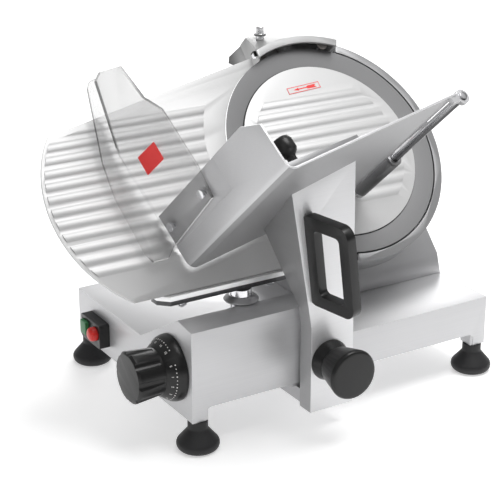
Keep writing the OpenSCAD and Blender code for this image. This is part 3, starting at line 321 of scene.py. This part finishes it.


# Blade: ground steel with fine turning marks round its axis, a dished face and a bevelled edge.
# A thin dark ring of painted shadow runs round it where the cover's rim ends.
gap_shadow_from, gap_shadow_to = 0.1181, 0.1193
blade_steel, place, normal, shader = surface("ground_steel", Metallic=0.7)
rings = round_blade(place).noise(0.5, 4, 0.75)
# painted shadow: the blade is painted near black in a thin ring at the cover's rim
gap_shadow = from_axis(in_blade(place)).between(gap_shadow_from, gap_shadow_to)
wire(shader, Base_Color=(gap_shadow * (0.72 + rings * 0.28)).tint(grey(0.012), grey(0.22, 0.003)),
     Roughness=0.36 + rings * 0.12)
paint(blade_steel, "blade")
paint(steel, "blade_hub", "blade_screws", "tie_rod")
soften(0.3, "blade", "blade_hub", "tie_rod")
soften(0, "blade_screws")


# Blade cover: the pale, finely frosted plate with ribs over the blade's middle.
# It is drawn in from behind by the tie rod, which has a black knob.
frosted = dict(rough=(0.42, 0.54), grain=0.6, cloud=70, share=0.5)
paint(mottled("cover_plate", grey(0.60), grey(0.70), Metallic=0.35, **frosted), "blade_cover")
soften(0.5, "blade_cover")
black = mottled("black_plastic", grey(0.007), grey(0.013), (0.26, 0.38), 0.6, bump=(0.08, 0.06),
                Specular_IOR_Level=0.4)
paint(black, "tie_rod_knob")
soften(1.2, "tie_rod_knob")


# Direction arrow: a small white plate near the top of the cover.
# A red border and a red arrow, which points the way the blade turns, are printed on it.
def placed(matrix):
    """Takes points given in millimetres to where a frame puts them."""
    return lambda point: matrix @ (Vector(point) / 1000)


def slab(shape, outline, low, high, place):
    """Adds a flat outline as a solid from low to high."""
    ends = [[shape.verts.new(place((x, y, z))) for x, y in outline] for z in (low, high)]
    for end in ends:
        shape.faces.new(end)
    for i in range(len(outline)):
        shape.faces.new((ends[0][i - 1], ends[0][i], ends[1][i], ends[1][i - 1]))


def new_piece(name, body, material, shape):
    bmesh.ops.remove_doubles(shape, verts=shape.verts, dist=1e-7)
    bmesh.ops.recalc_face_normals(shape, faces=shape.faces)
    mesh = bpy.data.meshes.new(name)
    shape.to_mesh(mesh)
    shape.free()
    mesh.materials.append(material)
    piece = bpy.data.objects.new(name, mesh)
    scene.collection.objects.link(piece)
    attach(piece, body)


def rectangle(x0, x1, y0, y1):
    return [(x0, y0), (x1, y0), (x1, y1), (x0, y1)]


def rounded(corners, radius, steps=4):
    """An outline with each corner drawn as a short curve."""
    outline = []
    for i in range(len(corners)):
        here, before, after = (Vector(corners[k % len(corners)]) for k in (i, i - 1, i + 1))
        start, end = (here + (other - here).normalized() * radius for other in (before, after))
        outline += [start * (1 - t) ** 2 + here * 2 * t * (1 - t) + end * t ** 2 for t in
                    (k / steps for k in range(steps + 1))]
    return outline


printed = dict(rough=(0.35, 0.50), grain=1.5, Specular_IOR_Level=0.4)
print_white = mottled("print_white", (0.76, 0.74, 0.73), (0.84, 0.82, 0.81), **printed)
print_red = mottled("print_red", (0.86, 0.04, 0.04), (0.96, 0.06, 0.055), **printed)
cover_face = -2.7
label_x, label_u, label_lean, label_r = -2.9, 88.1, 3.6, 0.6
label_w, label_h, label_t, border, print_top = 49.0, 8.8, 0.25, 0.8, 0.4
right, top, half = label_w / 2, label_h / 2, border / 2
at_label = placed(at_blade(label_x, label_u, cover_face) @ turn(label_lean, "Z"))
shape = bmesh.new()
slab(shape, rounded(rectangle(-right, right, -top, top), label_r), 0, label_t, at_label)
new_piece("arrow_plate", "housing", print_white, shape)
shape = bmesh.new()
for side in (-1, 1):
    across, up = side * (right - half), side * (top - half)
    for strip in (rectangle(-right, right, up - half, up + half),
                  rectangle(across - half, across + half, border - top, top - border)):
        slab(shape, strip, label_t, print_top, at_label)
arrow = [(-16, 0), (-8, 2), (-8, 0.7), (4, 0.7), (6, 2.2), (19, 2.2), (16.5, 0)]
slab(shape, arrow + [(x, -y) for x, y in reversed(arrow[1:-1])], label_t, print_top, at_label)
new_piece("arrow_print", "housing", print_red, shape)


# Sharpener: a pale cast hood over the top of the blade, on a polished post, with two small stones inside.
# A bright pin with a black collar presses one stone to the blade. A small clip sits on the hood's left side.
hood = mottled("hood_casting", grey(0.36), grey(0.44), (0.36, 0.46), 0.6, cloud=40, share=0.4, Metallic=0.5)
paint(hood, "sharpener_cover")
# The bracket's cheek has painted shade: near black at its back end, growing light towards its front.
cheek_back, cheek_front = -0.072, -0.036
cheek, place, normal, shader = surface("cheek_metal", Metallic=0.6)
cheek_painted_light = in_blade(place).part(2).between(cheek_back, cheek_front)
sand = place.noise(0.8)
wire(shader, Base_Color=(cheek_painted_light * (0.85 + sand * 0.15)).tint(grey(0.05), grey(0.42)),
     Roughness=0.34 + sand * 0.1)
paint(cheek, "sharpener_bracket")
paint(chrome, "sharpener_post", "honing_rod")
pin_axis, pin_r = Vector((79.1, 149.4, 0)) / 1000, 5.3 / 1000
pin, place, normal, shader = surface("pin_and_collar")
collar = from_axis(place.vector("SUBTRACT", pin_axis)) > pin_r
smear = place.noise(3)
wire(shader, Base_Color=(collar * (1.0 - smear * 0.3)).tint(grey(0.92, 0.01), grey(0.012)),
     Metallic=(1.0 - collar) * 0.8, Roughness=0.18 + smear * 0.1 + collar * 0.15)
paint(pin, "grinding_button")
stone = mottled("bonded_stone", (0.10, 0.09, 0.085), (0.34, 0.32, 0.30), (0.8, 0.95), 0.5, 4, 0.8,
                bump=(0.5, 0.2))
paint(stone, "grinding_stone", "honing_stone")
soften(2.5, "sharpener_cover")
soften(0.5, "sharpener_bracket", "sharpener_post", "grinding_button", "honing_rod", "grinding_stone",
       "honing_stone")
clip_place = (-53.4, 141, 2)
clip_w, clip_t, clip_r, clip_out, clip_sunk = 3.0, 1.2, 0.8, 4.4, 0.6
fold = clip_w + clip_t
beside = placed(at_blade(*clip_place) @ turn(-90, "Y"))
shape = bmesh.new()
slab(shape, rounded(rectangle(-clip_w, clip_w, -clip_w, clip_w), clip_r), -clip_sunk, clip_out, beside)
new_piece("hood_clip", "sharpener", chrome, shape)
shape = bmesh.new()
slab(shape, [(-clip_w, clip_w), (clip_w, clip_w), (clip_w, -clip_w), (fold, -clip_w), (fold, fold),
             (-clip_w, fold)], -clip_sunk, clip_out + clip_sunk, beside)
new_piece("hood_clip_edge", "sharpener", black, shape)


# Thickness plate: the same frosted plate with long ribs, on a bar and a polished post in the console.
# The bar's upper half is painted white as a highlight and its lower half is painted dark as shade.
paint(mottled("ribbed_plate", grey(0.54), grey(0.65), Metallic=0.4, **frosted), "gauge_plate")
soften(0.6, "gauge_plate")
bar_top, highlight_band, band_blur = 0.1813, 0.0054, 0.0004
bar, place, normal, shader = surface("bar_metal", Metallic=0.6)
# painted highlight on the band under the bar's top, painted shade below it
painted_highlight = place.part(2).between(bar_top - highlight_band - band_blur, bar_top - highlight_band)
grain = place.noise((60, 0.8, 0.8), 3, 0.6)
wire(shader, Base_Color=(painted_highlight * (0.88 + grain * 0.12)).tint(grey(0.075, 0.003), grey(1.0)),
     Roughness=0.26 + grain * 0.14)
paint(bar, "gauge_bar")
paint(casting, "gauge_collar")
paint(steel, "scroll_pin", "dial_shaft")
paint(chrome, "gauge_post", "gauge_bolts")
soften(0.8, "gauge_bar", "gauge_bolts", "gauge_collar")
soften(0.4, "gauge_post", "scroll_pin", "dial_shaft")


# Thickness dial: a black moulded grip with a sloped ring that carries white dots and numbers.
# Its scroll disc inside the base is turned bronze.
paint(black, "dial_knob")
soften(1.2, "dial_knob")
dial_wall_x, dial_y, dial_z = -167.1, -56.28, 92.0
cone_out, cone_r = (9.0, 21.0), (38.5, 30.0)
cone_slant = math.hypot(cone_out[1] - cone_out[0], cone_r[1] - cone_r[0])
cone_lean = math.atan2(cone_r[0] - cone_r[1], cone_out[1] - cone_out[0])


def on_cone(turned, down):
    """Takes flat points to the dial's sloped ring: x round it, y up from down millimetres below its rim."""
    def place(point):
        across, up, lift = point
        along = (down - up) / cone_slant
        out = cone_out[0] + along * (cone_out[1] - cone_out[0]) + lift * math.sin(cone_lean)
        radius = cone_r[0] + along * (cone_r[1] - cone_r[0]) + lift * math.cos(cone_lean)
        angle = math.radians(turned) + across / radius
        y, z = dial_y + radius * math.cos(angle), dial_z + radius * math.sin(angle)
        return Vector((dial_wall_x - out, y, z)) / 1000
    return place


dial_zero, dial_step, dial_top = 150, 22, 15
dots_each, dots_down, numbers_down = 3, 4.4, 9.6
big_dot, small_dot, dot_sunk, dot_top = 0.85, 0.65, -0.05, 0.15
number_size, number_t, number_bold, number_lift = 3.9, 0.1, 0.04, 0.05
shape = bmesh.new()
for i in range(dial_top * dots_each + 1):
    size = big_dot if i % dots_each == 0 else small_dot
    dot = [(size * math.cos(a * math.pi / 4), size * math.sin(a * math.pi / 4)) for a in range(8)]
    slab(shape, dot, dot_sunk, dot_top, on_cone(dial_zero + i * dial_step / dots_each, dots_down))
new_piece("dial_dots", "dial", print_white, shape)
shape = bmesh.new()
for i in range(dial_top + 1):
    words = bpy.data.curves.new("number", "FONT")
    words.body = str(i)
    words.size, words.extrude, words.offset, words.resolution_u = number_size, number_t, number_bold, 2
    words.align_x, words.align_y = "CENTER", "CENTER"
    flat = bpy.data.objects.new("number", words)
    figure = flat.to_mesh()
    place = on_cone(dial_zero + i * dial_step, numbers_down)
    start = len(shape.verts)
    shape.from_mesh(figure)
    shape.verts.ensure_lookup_table()
    for vert in shape.verts[start:]:
        vert.co = place((vert.co.x, vert.co.y, vert.co.z + number_lift))
    flat.to_mesh_clear()
    bpy.data.objects.remove(flat)
    bpy.data.curves.remove(words)
new_piece("dial_numbers", "dial", print_white, shape)
bronze = mottled("turned_bronze", (0.48, 0.34, 0.16), (0.62, 0.47, 0.25), (0.28, 0.42), (5, 1.2, 1.2), 3,
                 Metallic=1.0)
paint(bronze, "scroll_disc")
soften(0.4, "scroll_disc")


# Switch: a black box on the left wall with a green and a red push button.
# The gland for the cord, on the rear wall, is of the same black plastic.
paint(black, "switch_box", "cable_gland")
soften(1.0, "switch_box")
soften(0.6, "cable_gland")
glossy = dict(grain=3, Specular_IOR_Level=0.5)
green = mottled("green_plastic", (0.03, 0.16, 0.06), (0.05, 0.24, 0.09), (0.30, 0.40), **glossy)
paint(green, "green_button")
red = mottled("red_plastic", (0.62, 0.015, 0.012), (0.78, 0.03, 0.02), (0.24, 0.34), **glossy)
paint(red, "red_button")
soften(1.0, "green_button")
soften(0.8, "red_button")


# Carriage: the food table with its end wall and the folded arm below it, in the same satin sheet.
# The table's underside and the arm's left side get painted shade. Handle and clamp knob are black plastic.
table_under_shade = (-at_blade().to_3x3().col[1], grey(0.27, 0.005), grey(0.40, 0.005))
paint(brushed("table_sheet", *sheet_tones, sheet_rough, table_under_shade), "food_tray")
arm_side_shade = ((-1, 0, 0), grey(0.34, 0.005), grey(0.50, 0.005))
paint(brushed("arm_sheet", grey(0.72, 0.01), grey(0.86, 0.01), 0.38, arm_side_shade), "carriage_arm")
# The rounded edges of the table and the arm get the same painted edge highlight.
soften(0.8, "food_tray", "carriage_arm", edge=painted_edge_highlight)
paint(black, "carriage_handle", "clamp_collar", "clamp_knob")
paint(steel, "handle_screws", "clamp_stud")
soften(4.5, "carriage_handle", segments=4)
soften(1.5, "clamp_collar", "clamp_knob")
soften(0.4, "handle_screws", "clamp_stud")


# Tray guard: a bent clear sheet held to the end wall by two screws, with a plain red patch on it.
# Its flat faces are nearly invisible. Its cut edges are painted as dark lines of shade, its polished rims
# as bright lines of highlight, and near its top the sheet is painted greyer as a reflection of the room.
# at_wall is the end wall's frame: x in from its face, y up the wall, z along its foot.
wall_foot, wall_skew, wall_lean = (-248.6, -114.6, 4.8), 12, 7
at_wall = at_blade(*wall_foot) @ turn(wall_skew, "Z") @ turn(wall_lean, "Y")
panel_normal = at_wall.to_3x3().col[0]
strip_normal = at_blade().to_3x3().col[2]
clear, place, normal, shader = surface("clear_sheet", Specular_IOR_Level=0.5)
haze = place.noise(30)
# painted light: bright and dark lines on the rims, and a painted reflection that greys the sheet towards its
# top
flat = normal.math("MAXIMUM", abs(normal.dot(panel_normal)), abs(normal.dot(strip_normal)))
rim = 1.0 - flat.between(0.93, 0.99)
rim_highlight = 1.0 - flat.between(0.35, 0.6)
height = place.part(2).between(0.29, 0.36)
tone = rim.choose(0.34 + haze * 0.08, 0.07 + rim_highlight * 0.85)
wire(shader, Base_Color=tone.tint(grey(0), grey(1)), Roughness=0.06 + haze * 0.06,
     Alpha=rim.choose(0.10 + haze * 0.06 + height * 0.16, 0.75 + haze * 0.15))
paint(clear, "tray_guard")
soften(0.9, "tray_guard")
guard_face, patch_t, patch_r = -6.6, 0.3, 1.5
patch = [(71.5, 133.3), (70.6, 110.4), (30, 112), (31.6, 135.8)]
shape = bmesh.new()
at_guard = placed(at_wall @ shift(guard_face, 0, 0) @ turn(-90, "Y"))
slab(shape, rounded(patch, patch_r), 0, patch_t, at_guard)
new_piece("guard_patch", "carriage", print_red, shape)
paint(chrome, "guard_screws")
soften(0.8, "guard_screws")


# Food pusher: a polished rod beside the table and a cast sleeve that slides and swings on it.
# The sleeve's arm carries a toothed steel plate and a black knob.
# Rod and sleeve have painted light: they are pale only where they look towards the light.
def lit_metal(name, sides, grain, fleck, dark, light, rough, metal):
    """Round metal with painted light, pale facing the light; fleck is the share of the noise in its tone."""
    material, place, normal, shader = surface(name, Metallic=metal)
    toward_light = (-0.62, 0.31, 0.72)
    lit = normal.dot(toward_light).between(*sides)
    smear = place.noise(grain, 3, 0.6)
    wire(shader, Base_Color=(lit * (1 - fleck + smear * fleck)).tint(dark, light),
         Roughness=rough[0] + smear * (rough[1] - rough[0]))
    return material


rod = lit_metal("rod_steel", (-0.35, 0.75), 9, 0.1, grey(0.07, 0.002), grey(0.82, 0.02), (0.14, 0.24), 1.0)
sleeve = lit_metal("sleeve_casting", (-0.5, 0.9), 1.2, 0.2, grey(0.10), grey(0.52, 0.01), (0.30, 0.46), 0.8)
paint(rod, "pusher_rod")
paint(sleeve, "pusher_bush", "pusher_arm")
paint(steel, "pusher_plate")
paint(black, "pusher_knob")
soften(0.6, "pusher_rod", "pusher_bush", "pusher_arm")
soften(0.4, "pusher_plate")
soften(2.0, "pusher_knob")


# Studio: a plain white floor and a soft tent of light, brighter above and behind than in front.
# Four round lamps light the plate and the deck, and the camera stands where the photograph's stood.
reach = 6
floor_mesh = bpy.data.meshes.new("floor")
floor_mesh.from_pydata([(x, y, 0) for x, y in rectangle(-reach, reach, -reach, reach)], [], [(0, 1, 2, 3)])
floor = bpy.data.objects.new("floor", floor_mesh)
scene.collection.objects.link(floor)
paper = mottled("floor_white", grey(0.88), grey(0.90), (0.8, 0.9), 40, Specular_IOR_Level=0.1,
                Emission_Strength=0.46, Emission_Color=(1, 1, 1, 1))
floor_mesh.materials.append(paper)

world = bpy.data.worlds.new("studio")
scene.world = world
world.use_nodes = True
tree = world.node_tree
tree.nodes.clear()
camera_ray = Shade(tree, tree.nodes.new("ShaderNodeLightPath").outputs["Is Camera Ray"])
toward = Shade(tree, tree.nodes.new("ShaderNodeTexCoord").outputs["Generated"])
glow = 0.25 + toward.part(2) * 0.6 + toward.part(1) * 0.35 + toward.part(0) * 0.15
sky = glow.tint(grey(0.12, 0.005), grey(1.0))
tent = sky.add("ShaderNodeBackground", None, {"Color": sky, "Strength": 0.55})
seen = sky.add("ShaderNodeBackground", None, {"Color": (1, 1, 1, 1), "Strength": 1.0})
mixed = sky.add("ShaderNodeMixShader", None, {0: camera_ray, 1: tent, 2: seen})
tree.links.new(mixed.out, tree.nodes.new("ShaderNodeOutputWorld").inputs["Surface"])


def lamp(name, place, size, energy, aim=(0, 0, 0.2)):
    data = bpy.data.lights.new(name, "AREA")
    data.shape = "DISK"
    data.size, data.energy = size, energy
    light = bpy.data.objects.new(name, data)
    light.location = place
    light.rotation_euler = (Vector(aim) - Vector(place)).to_track_quat("-Z", "Y").to_euler()
    scene.collection.objects.link(light)


lamp("key", (2.1, -1.1, 2.2), 1.8, 5)
lamp("top", (0.5, -0.45, 2.5), 1.6, 38)
lamp("rear", (1.5, 2.2, 1.2), 1.6, 26)
lamp("fill", (-1.6, -1.4, 1.7), 2.0, 5)

camera = bpy.data.objects.new("camera", bpy.data.cameras.new("camera"))
camera.data.sensor_width = 36
camera.data.lens = 108.67
camera.location = (-0.91263, -1.44484, 0.85036)
back = Vector((-0.486852, -0.794336, 0.363325))
camera.rotation_euler = (-back).to_track_quat("-Z", "Y").to_euler()
scene.collection.objects.link(camera)
scene.camera = camera
scene.view_settings.view_transform = "Standard"
